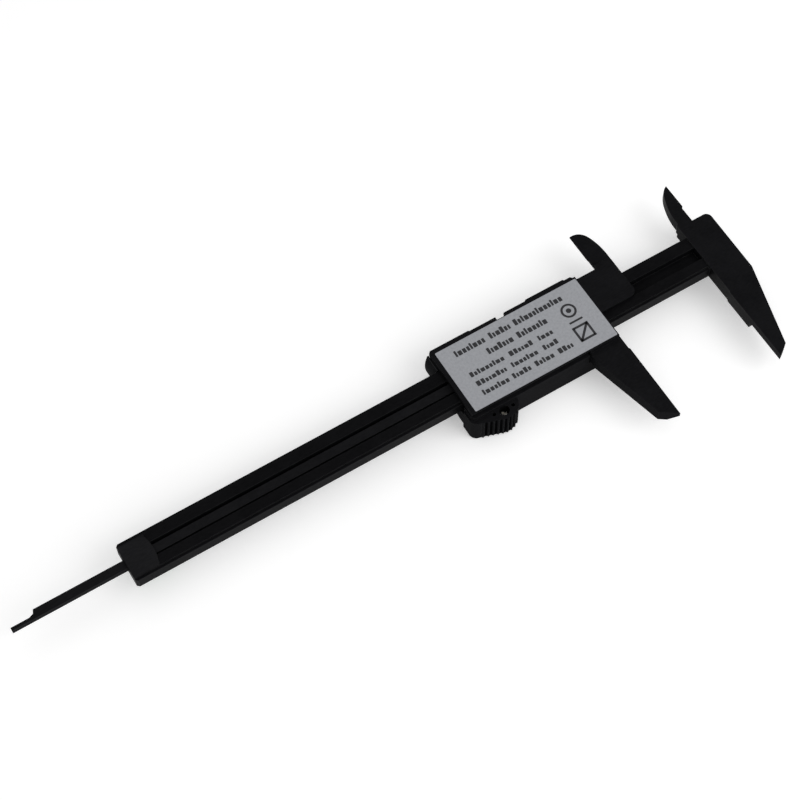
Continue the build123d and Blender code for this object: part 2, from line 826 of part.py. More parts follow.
# Four screws from the back frame into the cover's posts.
with BuildPart() as housing_screws:
    with BuildSketch(on_slider(plate_top - fit)):
        with Locations(*housing_screw_spots):
            Circle(screw_head_radius)
    extrude(amount=-screw_head_height)
    with BuildSketch(on_slider(plate_top - fit)):
        with Locations(*housing_screw_spots):
            Rectangle(2 * screw_head_radius - 0.6, screw_slot)
            Rectangle(screw_slot, 2 * screw_head_radius - 0.6)
    extrude(amount=-screw_slot_depth, mode=Mode.SUBTRACT)
    with BuildSketch(on_slider(plate_top - fit - screw_head_height)):
        with Locations(*housing_screw_spots):
            Circle(screw_radius)
    extrude(amount=-(plate_top - fit - screw_head_height - housing_screw_end))
save(housing_screws, "housing_screws")

# Clear window over the display.
with BuildPart() as lcd_window:
    with BuildSketch(on_slider(cover_front + window_set_back)):
        with Locations((window_x, window_y)):
            RectangleRounded(window_length, window_width, window_corner)
    extrude(amount=window_depth)
save(lcd_window, "lcd_window")

# Display cell: the front glass overhangs less than the back glass, which bears the contacts.
with BuildPart() as lcd_panel:
    with BuildSketch(on_slider(lcd_back - lcd_glass)):
        with Locations((window_x, window_y)):
            Rectangle(lcd_length, lcd_width)
    extrude(amount=lcd_glass)
    with BuildSketch(on_slider(lcd_back - lcd_glass)):
        with Locations((window_x, window_y - lcd_ledge / 2)):
            Rectangle(lcd_length, lcd_width - lcd_ledge)
    extrude(amount=-lcd_glass)
save(lcd_panel, "lcd_panel")

# Elastomer strip that joins the board to the display.
with BuildPart() as lcd_connector:
    with BuildSketch(on_slider(board_front)):
        with Locations((window_x, window_y + lcd_width / 2 - zebra_inset)):
            Rectangle(lcd_length - 3, zebra_width)
    extrude(amount=-(board_front - lcd_back))
save(lcd_connector, "lcd_connector")

# Circuit board that reads the scale.
with BuildPart() as main_board:
    with BuildSketch(on_slider(board_front)):
        span(board_left_x, -board_half, board_right_x, board_half)
        with Locations(*housing_screw_spots[2:]):
            Circle(screw_radius + screw_clearance, mode=Mode.SUBTRACT)
    extrude(amount=board_depth)
save(main_board, "main_board")

# Sealed chip on the board.
with BuildPart() as board_chip:
    with BuildSketch(on_slider(board_front)):
        with Locations(chip_spot):
            Circle(chip_radius)
    extrude(amount=-chip_height)
    fillet(board_chip.faces().sort_by(Axis.Z)[0].edges(), chip_height * 0.7)
save(board_chip, "board_chip")

# Snap domes under the keys.
with BuildPart() as key_domes:
    with BuildSketch(on_slider(board_front)):
        with Locations((key_middle_x, key_y)):
            with GridLocations(key_pitch, 1, 3, 1):
                Circle(dome_radius)
    extrude(amount=-dome_height, taper=35)
save(key_domes, "key_domes")


# Keys: a cap through the panel, a flange behind it and a stem over the dome.
panel_inner = cover_front + panel_depth + panel_wall
key_stem_top = board_front - dome_height - key_travel - key_play
for order, key_name in enumerate(("key_unit", "key_power", "key_zero")):
    key_x = key_middle_x + (order - 1) * key_pitch
    with BuildPart() as key:
        with BuildSketch(on_slider(key_proud)):
            with Locations((key_x, key_y)):
                RectangleRounded(key_length, key_width, key_corner)
        extrude(amount=panel_inner + key_play - key_proud)
        fillet(key.faces().sort_by(Axis.Z)[0].edges(), key_edge)
        with BuildSketch(on_slider(panel_inner + key_play)):
            with Locations((key_x, key_y)):
                RectangleRounded(
                    key_length + 2 * key_flange,
                    key_width + 2 * key_flange,
                    key_corner + key_gap,
                )
        extrude(amount=key_flange_depth)
        with BuildSketch(on_slider(panel_inner + key_play + key_flange_depth)):
            with Locations((key_x, key_y)):
                Circle(key_stem_radius)
        extrude(amount=key_stem_top - panel_inner - key_play - key_flange_depth)
    save(key, key_name)

# Button cell.
with BuildPart() as battery:
    with BuildSketch(on_slider(battery_front)):
        with Locations((battery_x, battery_y)):
            Circle(battery_radius)
    extrude(amount=battery_height - battery_lip)
    fillet(battery.faces().sort_by(Axis.Z)[0].edges(), battery_edge)
    with BuildSketch(on_slider(battery_back - battery_lip)):
        with Locations((battery_x, battery_y)):
            Circle(battery_lip_radius)
    extrude(amount=battery_lip)
save(battery, "battery")

# Contact strip behind the battery.
with BuildPart() as contact_negative:
    with BuildSketch(on_slider(battery_back)):
        with Locations((battery_x, battery_y)):
            Circle(contact_radius)
    extrude(amount=contact_sheet)
save(contact_negative, "contact_negative")

# Contact blade beside the battery.
with BuildPart() as contact_positive:
    with BuildSketch(on_slider(battery_front + contact_margin)):
        span(
            battery_x + battery_radius,
            battery_y - contact_half,
            battery_x + battery_radius + contact_sheet,
            battery_y + contact_half,
        )
    extrude(amount=battery_height - 1.2)
save(contact_positive, "contact_positive")

# Battery door: a plate on the front and a barrel-shaped end that wraps the housing's left end.
with BuildPart() as battery_door:
    with BuildSketch(on_slider(cover_front + door_set_back)):
        span(cover_left_x + 0.2, door_low_y, door_right_x, door_high_y)
    extrude(amount=door_depth)
    with BuildSketch(slider_section(door_end_high_y)):
        end_x = cover_left_x + 0.2
        with BuildLine():
            Polyline(
                (end_x, cover_front + door_set_back),
                (end_x, door_end_high),
                (end_x - door_end_shoulder, door_end_high),
            )
            ThreePointArc(
                (end_x - door_end_shoulder, door_end_high),
                (end_x - door_end_bulge, (door_end_high + cover_front) / 2),
                (end_x, cover_front + door_set_back),
            )
        make_face()
    extrude(amount=door_end_high_y - door_end_low_y)
    with BuildSketch(on_slider(cover_front + door_set_back)):
        for groove in range(door_grip_count):
            groove_x = cover_left_x + door_grip_start + groove * door_grip_pitch
            span(
                groove_x,
                door_low_y + door_grip_margin,
                groove_x + door_grip_width,
                door_high_y - door_grip_margin,
            )
    extrude(amount=door_grip_depth, mode=Mode.SUBTRACT)
save(battery_door, "battery_door")
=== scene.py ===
import json
import math

import bmesh
import bpy
from mathutils import Matrix, Vector, geometry


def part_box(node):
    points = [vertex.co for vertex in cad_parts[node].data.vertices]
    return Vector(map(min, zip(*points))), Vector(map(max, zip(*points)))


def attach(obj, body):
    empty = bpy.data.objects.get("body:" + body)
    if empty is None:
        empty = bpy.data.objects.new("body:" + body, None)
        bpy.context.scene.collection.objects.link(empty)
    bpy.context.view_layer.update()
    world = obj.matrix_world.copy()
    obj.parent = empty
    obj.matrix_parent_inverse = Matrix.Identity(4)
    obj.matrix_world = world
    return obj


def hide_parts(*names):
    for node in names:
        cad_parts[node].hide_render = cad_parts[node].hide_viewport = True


MM = 0.001
FULL_TURN = 359.5

# ---------------- Camera ----------------
CAMERA_AZIMUTH = math.radians(29.59)
CAMERA_ELEVATION = math.radians(61.45)
CAMERA_ROLL = math.radians(-1.85)
CAMERA_LENS = 87.46
CAMERA_LOOK = Vector((-46.89, 4.69, 12.6)) * MM
CAMERA_DISTANCE = 650.4 * MM
SENSOR_WIDTH = 36


def make_camera():
    sin_a, cos_a = math.sin(CAMERA_AZIMUTH), math.cos(CAMERA_AZIMUTH)
    sin_e, cos_e = math.sin(CAMERA_ELEVATION), math.cos(CAMERA_ELEVATION)
    forward = Vector((sin_a * cos_e, cos_a * cos_e, -sin_e))
    level = Vector((cos_a, -sin_a, 0))
    upright = level.cross(forward)
    right = level * math.cos(CAMERA_ROLL) + upright * math.sin(CAMERA_ROLL)
    up = upright * math.cos(CAMERA_ROLL) - level * math.sin(CAMERA_ROLL)
    data = bpy.data.cameras.new("camera")
    data.lens = CAMERA_LENS
    data.sensor_width = SENSOR_WIDTH
    data.clip_start = 0.01
    data.clip_end = 20
    camera = bpy.data.objects.new("camera", data)
    bpy.context.scene.collection.objects.link(camera)
    turn = Matrix((right, up, -forward)).transposed().to_4x4()
    camera.matrix_world = Matrix.Translation(CAMERA_LOOK - forward * CAMERA_DISTANCE) @ turn
    bpy.context.scene.camera = camera


make_camera()
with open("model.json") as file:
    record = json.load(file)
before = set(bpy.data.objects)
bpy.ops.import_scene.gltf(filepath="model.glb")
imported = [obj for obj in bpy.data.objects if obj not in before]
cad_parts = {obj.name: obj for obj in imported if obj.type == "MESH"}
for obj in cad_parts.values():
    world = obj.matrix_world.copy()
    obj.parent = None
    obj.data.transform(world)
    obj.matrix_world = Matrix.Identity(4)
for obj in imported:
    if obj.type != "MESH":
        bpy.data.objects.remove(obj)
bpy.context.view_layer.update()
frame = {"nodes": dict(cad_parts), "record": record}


# ---------------- Materials ----------------
def new_material(name):
    """A material with an empty tree, its Principled shader and its output."""
    material = bpy.data.materials.new(name)
    material.use_nodes = True
    tree = material.node_tree
    tree.nodes.clear()
    shader = tree.nodes.new("ShaderNodeBsdfPrincipled")
    output = tree.nodes.new("ShaderNodeOutputMaterial")
    tree.links.new(shader.outputs["BSDF"], output.inputs["Surface"])
    return material, tree, shader


def coordinates(tree, stretch=(1, 1, 1)):
    """Object coordinates in millimetres, stretched along each axis."""
    source = tree.nodes.new("ShaderNodeTexCoord")
    mapping = tree.nodes.new("ShaderNodeMapping")
    mapping.inputs["Scale"].default_value = [s / MM for s in stretch]
    tree.links.new(source.outputs["Object"], mapping.inputs["Vector"])
    return mapping.outputs["Vector"]


def noise(tree, vector, scale, detail=2.0, roughness=0.5):
    """Noise value; scale is in waves per millimetre."""
    node = tree.nodes.new("ShaderNodeTexNoise")
    node.inputs["Scale"].default_value = scale
    node.inputs["Detail"].default_value = detail
    node.inputs["Roughness"].default_value = roughness
    tree.links.new(vector, node.inputs["Vector"])
    return node.outputs["Fac"]


def ramp(tree, value, stops):
    """Colour ramp from (position, colour) stops."""
    node = tree.nodes.new("ShaderNodeValToRGB")
    elements = node.color_ramp.elements
    while len(elements) < len(stops):
        elements.new(0.5)
    for element, (position, colour) in zip(elements, stops):
        element.position = position
        element.color = (*colour, 1)
    tree.links.new(value, node.inputs["Fac"])
    return node.outputs["Color"]


def levels(tree, value, low, high, start=0.3, end=0.7):
    """Value spread from start..end to low..high."""
    node = tree.nodes.new("ShaderNodeMapRange")
    node.inputs["From Min"].default_value = start
    node.inputs["From Max"].default_value = end
    node.inputs["To Min"].default_value = low
    node.inputs["To Max"].default_value = high
    tree.links.new(value, node.inputs["Value"])
    return node.outputs["Result"]


def bump(tree, shader, height, strength, distance):
    """Surface relief from a height value."""
    node = tree.nodes.new("ShaderNodeBump")
    node.inputs["Strength"].default_value = strength
    node.inputs["Distance"].default_value = distance
    tree.links.new(height, node.inputs["Height"])
    tree.links.new(node.outputs["Normal"], shader.inputs["Normal"])


def add(tree, first, second, share):
    """first plus share times second."""
    node = tree.nodes.new("ShaderNodeMath")
    node.operation = "MULTIPLY_ADD"
    tree.links.new(second, node.inputs[0])
    node.inputs[1].default_value = share
    tree.links.new(first, node.inputs[2])
    return node.outputs["Value"]


def moulded_plastic(name, dark, light, rough, specular, stretch=(0.25, 1, 1), grain=0.2):
    """Fibre-filled moulded plastic: fine flow streaks along X, satin grain, uneven gloss."""
    material, tree, shader = new_material(name)
    even = coordinates(tree)
    streaked = coordinates(tree, stretch)
    blotches = noise(tree, even, 0.12, 3)
    streaks = noise(tree, streaked, 2.2, 4, 0.6)
    texture = noise(tree, even, 7.0, 2, 0.6)
    mixed = add(tree, streaks, blotches, 0.6)
    tree.links.new(ramp(tree, mixed, [(0.55, dark), (0.95, light)]), shader.inputs["Base Color"])
    uneven = add(tree, texture, blotches, 0.8)
    tree.links.new(levels(tree, uneven, rough[0], rough[1], 0.6, 1.2), shader.inputs["Roughness"])
    shader.inputs["Specular IOR Level"].default_value = specular
    bump(tree, shader, add(tree, texture, streaks, 0.5), grain, 0.05 * MM)
    return material


def sheet_metal(name, colour, rough, along=(0.06, 1, 1), strength=0.25):
    """Drawn or turned metal with fine lines."""
    material, tree, shader = new_material(name)
    lines = noise(tree, coordinates(tree, along), 9.0, 3, 0.6)
    stain = noise(tree, coordinates(tree), 0.6, 3)
    paler = tuple(min(1, c * 1.12) for c in colour)
    tree.links.new(ramp(tree, stain, [(0.35, colour), (0.7, paler)]), shader.inputs["Base Color"])
    tree.links.new(levels(tree, lines, rough * 0.75, rough * 1.3), shader.inputs["Roughness"])
    shader.inputs["Metallic"].default_value = 1
    bump(tree, shader, lines, strength, 0.01 * MM)
    return material


# Each plastic: name, darkest and lightest base colour, roughness range, specular level.
SATIN = (0.42, 0.58)
RUBBED = (0.34, 0.5)
BLACK = moulded_plastic("black_plastic", (0.0056, 0.0056, 0.0062), (0.0092, 0.0092, 0.0102), SATIN, 0.006)
BLACK_BEAM = moulded_plastic("black_beam", (0.003, 0.003, 0.0034), (0.0054, 0.0054, 0.006), RUBBED, 0.02)
BLACK_CAP = moulded_plastic("black_cap", (0.0092, 0.0092, 0.01), (0.0144, 0.0144, 0.0155), SATIN, 0.006)
# Lighter, glossier edge finish for the bevels: partly wear, partly painted highlight along the edges.
BLACK_WEAR_AND_HIGHLIGHT = moulded_plastic("black_wear_and_highlight", (0.015, 0.015, 0.0162), (0.025, 0.025, 0.0268), RUBBED, 0.1)
# Near-black finish that paints shade into the thumb grip's flute valleys.
BLACK_FLUTE_SHADE = moulded_plastic("black_flute_shade", (0.0012, 0.0012, 0.0013), (0.0026, 0.0026, 0.0029), SATIN, 0)
ROD = moulded_plastic("rod_plastic", (0.0068, 0.0068, 0.0075), (0.0106, 0.0106, 0.0116), RUBBED, 0.01)
KEY = moulded_plastic("key_plastic", (0.2, 0.205, 0.215), (0.26, 0.265, 0.275), SATIN, 0.4, (1, 1, 1))
KEY_RED = moulded_plastic("key_red", (0.3, 0.02, 0.015), (0.38, 0.035, 0.025), SATIN, 0.4, (1, 1, 1))
STEEL = sheet_metal("screw_steel", (0.62, 0.6, 0.56), 0.24)
SPRING = sheet_metal("spring_steel", (0.58, 0.56, 0.52), 0.3)
CELL = sheet_metal("cell_steel", (0.6, 0.6, 0.6), 0.2, (1, 0.06, 1))


def label_film():
    """Satin silver film: fine metallic grain, faint mottling."""
    material, tree, shader = new_material("label_film")
    even = coordinates(tree)
    sparkle = noise(tree, even, 9.0, 2, 0.7)
    mottle = noise(tree, even, 1.1, 4, 0.6)
    mixed = add(tree, sparkle, mottle, 0.7)
    pale, dull = (0.37, 0.378, 0.4), (0.27, 0.277, 0.297)
    tree.links.new(ramp(tree, mixed, [(0.62, dull), (1.05, pale)]), shader.inputs["Base Color"])
    tree.links.new(levels(tree, sparkle, 0.42, 0.6), shader.inputs["Roughness"])
    shader.inputs["Metallic"].default_value = 0.15
    shader.inputs["Specular IOR Level"].default_value = 0.4
    bump(tree, shader, mixed, 0.12, 0.02 * MM)
    return material


def ink(name, colour, rough=0.5):
    """Screen-printed ink, slightly thin in places."""
    material, tree, shader = new_material(name)
    even = coordinates(tree)
    thin = noise(tree, even, 3.5, 3, 0.6)
    paler = tuple(min(1, c * 1.25 + 0.006) for c in colour)
    tree.links.new(ramp(tree, thin, [(0.4, colour), (0.75, paler)]), shader.inputs["Base Color"])
    tree.links.new(levels(tree, thin, rough * 0.85, rough * 1.15), shader.inputs["Roughness"])
    bump(tree, shader, thin, 0.1, 0.01 * MM)
    return material


def circuit():
    """Green solder mask over copper tracks."""
    material, tree, shader = new_material("circuit")
    even = coordinates(tree)
    tracks = tree.nodes.new("ShaderNodeTexBrick")
    tracks.inputs["Scale"].default_value = 0.35
    tracks.inputs["Mortar Size"].default_value = 0.08
    tracks.inputs["Color1"].default_value = (0.012, 0.07, 0.03, 1)
    tracks.inputs["Color2"].default_value = (0.01, 0.058, 0.026, 1)
    tracks.inputs["Mortar"].default_value = (0.03, 0.13, 0.05, 1)
    tree.links.new(even, tracks.inputs["Vector"])
    tree.links.new(tracks.outputs["Color"], shader.inputs["Base Color"])
    weave = noise(tree, even, 4.0, 2)
    tree.links.new(levels(tree, weave, 0.22, 0.36), shader.inputs["Roughness"])
    bump(tree, shader, tracks.outputs["Fac"], 0.2, 0.02 * MM)
    return material


def display_glass():
    """Grey-green liquid-crystal cell with a faint reflector grain."""
    material, tree, shader = new_material("display_glass")
    even = coordinates(tree)
    grain = noise(tree, even, 6.0, 3, 0.6)
    cell = ramp(tree, grain, [(0.35, (0.2, 0.235, 0.18)), (0.7, (0.24, 0.275, 0.215))])
    tree.links.new(cell, shader.inputs["Base Color"])
    tree.links.new(levels(tree, grain, 0.12, 0.2), shader.inputs["Roughness"])
    shader.inputs["Specular IOR Level"].default_value = 0.5
    bump(tree, shader, grain, 0.04, 0.01 * MM)
    return material


def clear_window():
    """Polished acrylic with faint wipe marks."""
    material, tree, shader = new_material("clear_window")
    wipes = noise(tree, coordinates(tree, (0.2, 1, 1)), 1.5, 4, 0.6)
    tree.links.new(levels(tree, wipes, 0.02, 0.07), shader.inputs["Roughness"])
    clear = ramp(tree, wipes, [(0.3, (0.95, 0.97, 0.97)), (0.7, (0.98, 0.99, 0.99))])
    tree.links.new(clear, shader.inputs["Base Color"])
    shader.inputs["Transmission Weight"].default_value = 1
    shader.inputs["IOR"].default_value = 1.49
    bump(tree, shader, wipes, 0.02, 0.01 * MM)
    return material


def striped_elastomer():
    """Conductive strip: fine dark and pale layers across its length."""
    material, tree, shader = new_material("striped_elastomer")
    wave = tree.nodes.new("ShaderNodeTexWave")
    wave.inputs["Scale"].default_value = 1.2
    tree.links.new(coordinates(tree), wave.inputs["Vector"])
    layers = ramp(tree, wave.outputs["Fac"], [(0.45, (0.02, 0.02, 0.02)), (0.55, (0.3, 0.3, 0.3))])
    tree.links.new(layers, shader.inputs["Base Color"])
    tree.links.new(levels(tree, wave.outputs["Fac"], 0.6, 0.75), shader.inputs["Roughness"])
    return material


def potting():
    """Glossy black potting drop."""
    material, tree, shader = new_material("potting")
    flow = noise(tree, coordinates(tree), 0.9, 2)
    resin = ramp(tree, flow, [(0.3, (0.004, 0.004, 0.004)), (0.8, (0.012, 0.012, 0.012))])
    tree.links.new(resin, shader.inputs["Base Color"])
    tree.links.new(levels(tree, flow, 0.12, 0.25), shader.inputs["Roughness"])
    bump(tree, shader, flow, 0.2, 0.1 * MM)
    return material


LABEL = label_film()
LABEL_INK = ink("label_ink", (0.006, 0.006, 0.008))
SCALE_FILM = ink("scale_film", (0.008, 0.008, 0.009), 0.38)
SCALE_INK = ink("scale_ink", (0.62, 0.63, 0.62))
KEY_INK = ink("key_ink", (0.6, 0.6, 0.6))
SEGMENT_INK = ink("segment_ink", (0.012, 0.014, 0.012), 0.25)
CIRCUIT = circuit()
DISPLAY = display_glass()
WINDOW = clear_window()
ELASTOMER = striped_elastomer()
POTTING = potting()

CAD_FINISH = {
    "stator_board": CIRCUIT,
    "lcd_window": WINDOW,
    "lcd_panel": DISPLAY,
    "lcd_connector": ELASTOMER,
    "main_board": CIRCUIT,
    "board_chip": POTTING,
    "key_domes": SPRING,
    "battery": CELL,
    "contact_negative": SPRING,
    "contact_positive": SPRING,
    "guide_spring": SPRING,
    "rod_screw": STEEL,
    "housing_screws": STEEL,
    "grip_screw": STEEL,
    "scale_label": SCALE_FILM,
}
for node, finish in CAD_FINISH.items():
    mesh = frame["nodes"][node].data
    mesh.materials.clear()
    mesh.materials.append(finish)


# ---------------- Refined CAD pieces ----------------
SHARP_ANGLE = math.radians(28)
FLAT_ANGLE = math.radians(0.6)
WELD_DISTANCE = 0.002 * MM


def link(obj):
    bpy.context.scene.collection.objects.link(obj)
    return obj


def refine(node, name, body, finish, edge_finish, width, low_finish=None, low_top=0):
    """A copy of a CAD node with welded faces, a small bevel in edge_finish on its sharp edges and smooth
    curves; on the black mouldings that edge finish is lighter and glossier, partly wear and partly painted
    highlight.

    Faces centred below low_top take low_finish.
    """
    source = frame["nodes"][node]
    mesh = source.data.copy()
    mesh.name = name
    mesh.materials.clear()
    mesh.materials.append(finish)
    mesh.materials.append(edge_finish)
    if low_finish:
        mesh.materials.append(low_finish)
    work = bmesh.new()
    work.from_mesh(mesh)
    bmesh.ops.remove_doubles(work, verts=work.verts, dist=WELD_DISTANCE)
    bmesh.ops.dissolve_limit(work, angle_limit=FLAT_ANGLE, verts=work.verts, edges=work.edges)
    for face in work.faces:
        face.smooth = True
        face.material_index = 2 if low_finish and face.calc_center_median().z < low_top else 0
    for edge in work.edges:
        sharp = len(edge.link_faces) != 2 or edge.calc_face_angle(0) > SHARP_ANGLE
        edge.smooth = not sharp
    work.to_mesh(mesh)
    work.free()
    if "custom_normal" in mesh.attributes:
        mesh.attributes.remove(mesh.attributes["custom_normal"])
    piece = link(bpy.data.objects.new(name, mesh))
    bevel = piece.modifiers.new("wear_and_highlight_edges", "BEVEL")
    bevel.width = width * MM
    bevel.segments = 2
    bevel.limit_method = "ANGLE"
    bevel.angle_limit = SHARP_ANGLE
    bevel.use_clamp_overlap = True
    # The bevel takes the edge finish; on the black mouldings it is partly wear and partly painted
    # highlight.
    bevel.material = 1
    bevel.harden_normals = False
    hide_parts(node)
    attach(piece, body)
    return piece


# How far the thumb grip reaches up from its lowest point, how far inside its outline the painted shade
# starts, and how far an upright face may lean.
GRIP_REACH = 5.0 * MM
FLUTE_DEPTH = 0.38 * MM
UPRIGHT_LEAN = 0.3


def paint_flute_shade(piece, finish):
    """Painted shade: a near-black finish on the upright faces that lie well inside the thumb grip's
    outline, darkening the flute valleys as shade would.
    """
    mesh = piece.data
    mesh.materials.append(finish)
    shade_index = len(mesh.materials) - 1
    limit = min(vertex.co.y for vertex in mesh.vertices) + GRIP_REACH
    grip = [vertex.co.xy for vertex in mesh.vertices if vertex.co.y < limit]
    hull = [grip[i] for i in geometry.convex_hull_2d(grip)]
    for face in mesh.polygons:
        centre = face.center.xy
        if centre.y > limit or abs(face.normal.z) > UPRIGHT_LEAN:
            continue
        depth = GRIP_REACH
        for start, end in zip(hull, hull[1:] + hull[:1]):
            foot, _ = geometry.intersect_point_line(centre, start, end)
            depth = min(depth, (centre - foot.xy).length)
        if depth > FLUTE_DEPTH:
            face.material_index = shade_index


# The beam's sliding faces are smoother and darker than the raised head, which stands just above them.
HEAD_DROP = 0.3 * MM
beam_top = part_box("main_beam")[1].z - HEAD_DROP
refine("main_beam", "beam_moulding", "beam", BLACK, BLACK_WEAR_AND_HIGHLIGHT, 0.14, BLACK_BEAM, beam_top)
refine("end_cap", "beam_end_cap", "beam", BLACK_CAP, BLACK_WEAR_AND_HIGHLIGHT, 0.08)
refine("slider_frame", "slider_moulding", "slider", BLACK, BLACK_WEAR_AND_HIGHLIGHT, 0.12)
housing = refine("front_cover", "housing_moulding", "slider", BLACK, BLACK_WEAR_AND_HIGHLIGHT, 0.12)
# The flute valleys get painted shade, not real depth.
paint_flute_shade(housing, BLACK_FLUTE_SHADE)
refine("depth_rod", "rod_moulding", "slider", ROD, BLACK_WEAR_AND_HIGHLIGHT, 0.1)
refine("battery_door", "door_moulding", "door", BLACK, BLACK_WEAR_AND_HIGHLIGHT, 0.12)
refine("key_unit", "unit_key_cap", "key_unit_body", KEY, KEY, 0.12)
refine("key_power", "power_key_cap", "key_power_body", KEY_RED, KEY_RED, 0.12)
refine("key_zero", "zero_key_cap", "key_zero_body", KEY, KEY, 0.12)


# ---------------- Flat print ----------------
def rounded_outline(cx, cy, length, width, radius, steps=4):
    """Corner points of a rounded rectangle, anticlockwise."""
    radius = min(radius, length / 2, width / 2)
    points = []
    for quarter, (sx, sy) in enumerate(((1, 1), (-1, 1), (-1, -1), (1, -1))):
        for step in range(steps + 1):
            angle = math.pi / 2 * (quarter + step / steps)
            x = cx + sx * (length / 2 - radius) + radius * math.cos(angle)
            y = cy + sy * (width / 2 - radius) + radius * math.sin(angle)
            points.append((x, y))
    return points


def arc_band(cx, cy, radius, thickness, start, end, steps=28):
    """Outline of a curved stroke between two angles in degrees."""
    outer, inner = [], []
    for step in range(steps + 1):
        angle = math.radians(start + (end - start) * step / steps)
        along, across = math.cos(angle), math.sin(angle)
        outer.append((cx + (radius + thickness / 2) * along, cy + (radius + thickness / 2) * across))
        inner.append((cx + (radius - thickness / 2) * along, cy + (radius - thickness / 2) * across))
    return outer + inner[::-1]


def stroke(x0, y0, x1, y1, thickness):
    """Outline of a straight stroke."""
    length = math.hypot(x1 - x0, y1 - y0)
    nx, ny = -(y1 - y0) / length * thickness / 2, (x1 - x0) / length * thickness / 2
    return [(x0 + nx, y0 + ny), (x0 - nx, y0 - ny), (x1 - nx, y1 - ny), (x1 + nx, y1 + ny)]


def print_piece(name, outlines, z, thickness, body, finish, downward=False):
    """One mesh of thin raised shapes from outlines in millimetres. z is the outer surface."""
    work = bmesh.new()
    sign = 1 if downward else -1
    for outline in outlines:
        outer = [work.verts.new((x * MM, y * MM, z)) for x, y in outline]
        inner = [work.verts.new((x * MM, y * MM, z + sign * thickness)) for x, y in outline]
        work.faces.new(outer)
        work.faces.new(inner[::-1])
        for i in range(len(outline)):
            j = (i + 1) % len(outline)
            work.faces.new((outer[j], outer[i], inner[i], inner[j]))
    bmesh.ops.recalc_face_normals(work, faces=work.faces)
    mesh = bpy.data.meshes.new(name)
    work.to_mesh(mesh)
    work.free()
    mesh.materials.append(finish)
    piece = link(bpy.data.objects.new(name, mesh))
    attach(piece, body)
    return piece


# ---------------- Back label ----------------
LABEL_RECESS = 0.03 * MM
LABEL_CORNER = 0.35
LABEL_PRINT_RECESS = 0.012 * MM
LABEL_PRINT_THICKNESS = 0.03 * MM
label_low, label_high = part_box("back_label")
label_left, label_right = label_low.x / MM, label_high.x / MM
label_bottom, label_top = label_low.y / MM, label_high.y / MM
film = print_piece(
    "label_sheet",
    [
        rounded_outline(
            (label_left + label_right) / 2,
            (label_bottom + label_top) / 2,
            label_right - label_left,
            label_top - label_bottom,
            LABEL_CORNER,
        )
    ],
    label_high.z - LABEL_RECESS,
    label_high.z - label_low.z - LABEL_RECESS,
    "slider",
    LABEL,
)
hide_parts("back_label")

# Short plain blocks, grouped like words, stand for the lines of print.
# Each row: start, top and height in millimetres, then the widths of its groups.
PRINT_ROWS = [
    (5.6, 2.6, 2.5, [12.0, 8.2, 19.9]),
    (15.6, 7.4, 2.5, [10.3, 11.7]),
    (5.7, 12.4, 2.0, [13.9, 9.9, 5.9]),
    (5.8, 16.4, 2.0, [12.2, 11.0, 5.9]),
    (5.8, 20.2, 2.1, [10.2, 7.3, 7.6, 5.9]),
]
GROUP_GAP = 1.7
BLOCK_GAP = 0.36
BLOCK_NARROWEST = 0.78
BLOCK_STEP = 0.24
BLOCK_CORNER = 0.22
LAST_BLOCK_ROOM = 0.5
TALL_BLOCK = 1.0
LOW_BLOCK = 0.72

# The two plain marks at the right, measured from the label's upper left corner.
MARKS_X = 47.8
RING_Y = 9.6
RING_RADIUS = 2.4
RING_LINE = 0.8
DISC_SIZE = 1.9
BAR_Y = 14.2
BAR_LENGTH = 5.2
BAR_WIDTH = 0.75
SQUARE_Y = 19.3
SQUARE_HALF = 2.7
SQUARE_LINE = 0.85


def word_blocks(start, foot, height, width, order):
    """Blocks of uneven width that fill one group, the first and every fourth one taller."""
    outlines = []
    x = start
    count = 0
    while x < start + width - LAST_BLOCK_ROOM:
        block = BLOCK_NARROWEST + BLOCK_STEP * ((order * 5 + count * 3) % 4)
        block = min(block, start + width - x)
        tall = TALL_BLOCK if (count + order) % 4 == 0 or count == 0 else LOW_BLOCK
        rise = height * tall
        outlines.append(rounded_outline(x + block / 2, foot + rise / 2, block, rise, BLOCK_CORNER))
        x += block + BLOCK_GAP
        count += 1
    return outlines


def label_marks():
    """The rows of blocks, a ringed disc over a bar, and a divided square."""
    outlines = []
    for row, (start, top, height, widths) in enumerate(PRINT_ROWS):
        x = label_left + start
        for order, width in enumerate(widths):
            outlines += word_blocks(x, label_top - top - height, height, width, row + order)
            x += width + GROUP_GAP
    x = label_left + MARKS_X
    ring_y = label_top - RING_Y
    outlines.append(arc_band(x, ring_y, RING_RADIUS, RING_LINE, 0, FULL_TURN, 48))
    outlines.append(rounded_outline(x, ring_y, DISC_SIZE, DISC_SIZE, DISC_SIZE / 2, 8))
    outlines.append(rounded_outline(x, label_top - BAR_Y, BAR_LENGTH, BAR_WIDTH, 0.1))
    left, right = x - SQUARE_HALF, x + SQUARE_HALF
    low, high = label_top - SQUARE_Y - SQUARE_HALF, label_top - SQUARE_Y + SQUARE_HALF
    corner = SQUARE_LINE / 2
    for y in (low, high):
        outlines.append(stroke(left, y, right, y, SQUARE_LINE))
    for side in (left, right):
        outlines.append(stroke(side, low - corner, side, high + corner, SQUARE_LINE))
    outlines.append(stroke(left, low, right, high, SQUARE_LINE))
    return outlines


print_piece(
    "label_print",
    label_marks(),
    label_high.z - LABEL_PRINT_RECESS,
    LABEL_PRINT_THICKNESS,
    "slider",
    LABEL_INK,
)


